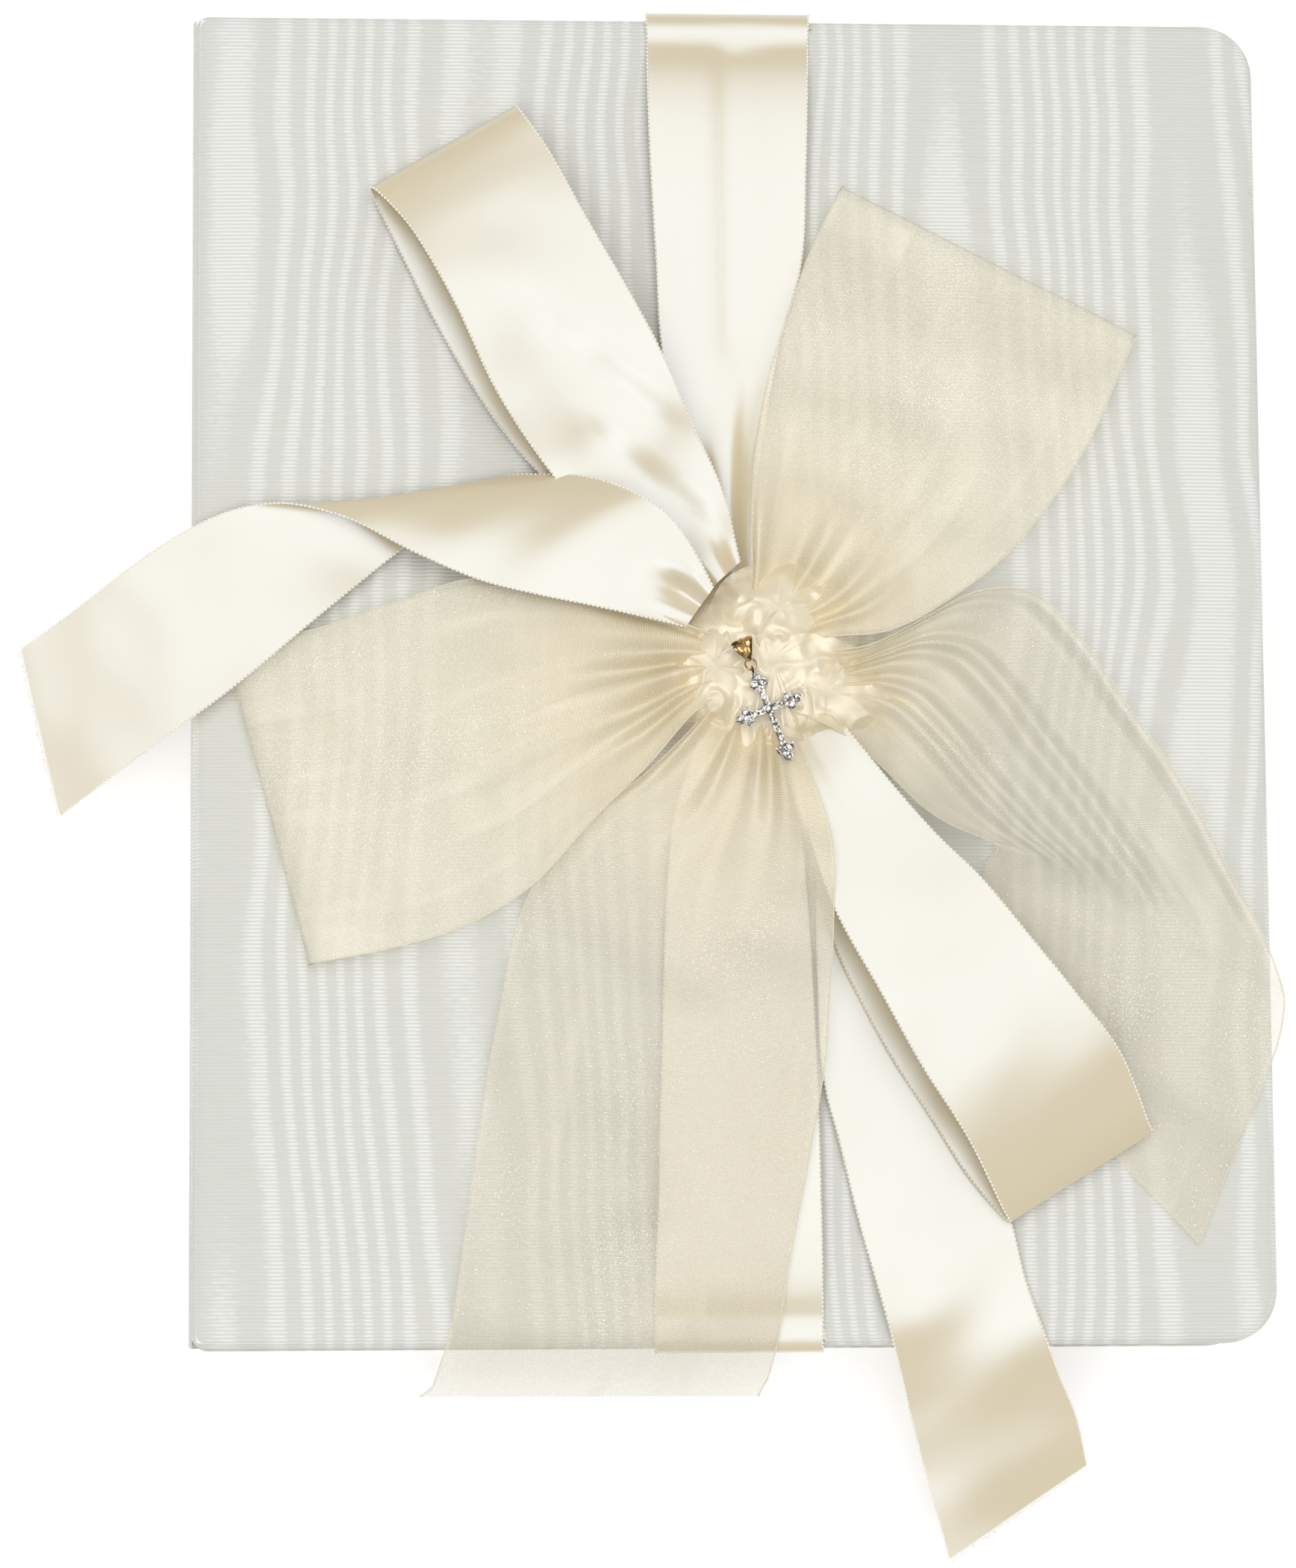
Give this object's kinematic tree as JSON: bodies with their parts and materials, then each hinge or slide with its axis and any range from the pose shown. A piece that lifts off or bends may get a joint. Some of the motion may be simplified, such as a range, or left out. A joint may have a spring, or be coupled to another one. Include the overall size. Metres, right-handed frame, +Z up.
{
  "type": "prayer book",
  "caption": "Closed prayer book in moire cloth with a satin band and bow, a sheer organza bow and a stone-set cross sewn on the knot.",
  "frame": {"origin": "the middle of the back cover's underside", "axes": "+X towards the fore edge, +Y towards the head of the book, +Z up through the closed front cover"},
  "size_m": [0.1896, 0.2354, 0.037],
  "materials": {
    "moire_cloth": "ivory watered ribbed silk",
    "grey_board": "raw binder's board",
    "wadding": "thin white wadding",
    "endpaper": "smooth ivory paper",
    "leaves": "uncoated ivory paper",
    "lining": "open-weave gauze and glue",
    "headband_silk": "silk, cream and gold stripes",
    "satin": "cream satin with picot edges",
    "organza": "sheer cream organza",
    "gold": "polished yellow gold; brass stands in for the alloy",
    "white_gold": "polished white gold; brass stands in for the alloy",
    "clear_stone": "clear faceted stone",
    "thread": "white sewing thread"
  },
  "bodies": {
    "back_cover": {"back_cloth": "moire_cloth", "back_board": "grey_board", "back_pastedown": "endpaper", "back_flyleaf": "endpaper", "section_1": "leaves", "section_2": "leaves", "section_3": "leaves", "section_4": "leaves", "section_5": "leaves", "section_6": "leaves", "section_7": "leaves", "spine_lining": "lining", "headband": "headband_silk", "tailband": "headband_silk"},
    "spine": {"spine_cloth": "moire_cloth", "spine_board": "grey_board"},
    "front_cover": {"front_cloth": "moire_cloth", "front_board": "grey_board", "front_padding": "wadding", "front_pastedown": "endpaper", "satin_band": "satin", "satin_loop_upper": "satin", "satin_loop_lower": "satin", "satin_tail_left": "satin", "satin_tail_left_turn": "satin", "satin_tail_lower": "satin", "satin_knot": "satin", "organza_loop_upper": "organza", "organza_loop_left": "organza", "organza_tail_right": "organza", "organza_tail_right_turn": "organza", "organza_tail_lower": "organza", "organza_knot": "organza", "stitch_thread": "thread"},
    "front_flyleaf": {"front_flyleaf": "endpaper"},
    "leaf_group_1": {"leaf_group_1": "leaves"},
    "leaf_group_2": {"leaf_group_2": "leaves"},
    "satin_tail_end": {"satin_tail_left_end": "satin"},
    "pendant_bail": {"bail": "gold"},
    "pendant_ring": {"jump_ring": "gold"},
    "pendant_cross": {"cross_frame": "white_gold", "centre_stone": "clear_stone", "stone_top_1": "clear_stone", "stone_top_2": "clear_stone", "stone_top_3": "clear_stone", "stone_bottom_1": "clear_stone", "stone_bottom_2": "clear_stone", "stone_bottom_3": "clear_stone", "stone_left_1": "clear_stone", "stone_left_2": "clear_stone", "stone_left_3": "clear_stone", "stone_right_1": "clear_stone", "stone_right_2": "clear_stone", "stone_right_3": "clear_stone", "baguette_top_1": "clear_stone", "baguette_left_1": "clear_stone", "baguette_right_1": "clear_stone", "baguette_bottom_1": "clear_stone", "baguette_bottom_2": "clear_stone"}
  },
  "joints": [
    {"name": "spine_tilt", "type": "hinge", "parent": "back_cover", "child": "spine", "pos_m": [-0.0818, 0, 0.0032], "axis": [0, -1, 0], "range_deg": [0, 12]},
    {"name": "front_cover_open", "type": "hinge", "parent": "spine", "child": "front_cover", "pos_m": [-0.0818, 0, 0.01875], "axis": [0, -1, 0], "range_deg": [0, 150]},
    {"name": "flyleaf_turn", "type": "hinge", "parent": "back_cover", "child": "front_flyleaf", "pos_m": [-0.0777, 0, 0.0182], "axis": [0, -1, 0], "range_deg": [0, 115]},
    {"name": "leaf_group_1_turn", "type": "hinge", "parent": "back_cover", "child": "leaf_group_1", "pos_m": [-0.0771, 0, 0.0177], "axis": [0, -1, 0], "range_deg": [0, 85]},
    {"name": "leaf_group_2_turn", "type": "hinge", "parent": "back_cover", "child": "leaf_group_2", "pos_m": [-0.0765, 0, 0.017], "axis": [0, -1, 0], "range_deg": [0, 55]},
    {"name": "satin_tail_bend", "type": "hinge", "parent": "front_cover", "child": "satin_tail_end", "pos_m": [-0.0821, 0, 0.0254], "axis": [0, -1, 0], "range_deg": [-160, 0]},
    {"name": "bail_swing", "type": "hinge", "parent": "front_cover", "child": "pendant_bail", "pos_m": [0.00032, 0.00281, 0.03595], "axis": [0, 0, 1], "range_deg": [-8, 8]},
    {"name": "ring_lift", "type": "hinge", "parent": "pendant_bail", "child": "pendant_ring", "pos_m": [0.0014, 0.00012, 0.03555], "axis": [-0.9272, -0.3746, 0], "range_deg": [0, 20]},
    {"name": "cross_lift", "type": "hinge", "parent": "pendant_ring", "child": "pendant_cross", "pos_m": [0.002, -0.00137, 0.03555], "axis": [-0.9272, -0.3746, 0], "range_deg": [0, 25]}
  ],
  "couplings": [
    {"joint": "spine_tilt", "follows": "front_cover_open", "ratio": 0.07},
    {"joint": "flyleaf_turn", "follows": "front_cover_open", "ratio": 0.75},
    {"joint": "leaf_group_1_turn", "follows": "front_cover_open", "ratio": 0.55},
    {"joint": "leaf_group_2_turn", "follows": "front_cover_open", "ratio": 0.35},
    {"joint": "satin_tail_bend", "follows": "front_cover_open", "ratio": -1.05}
  ]
}
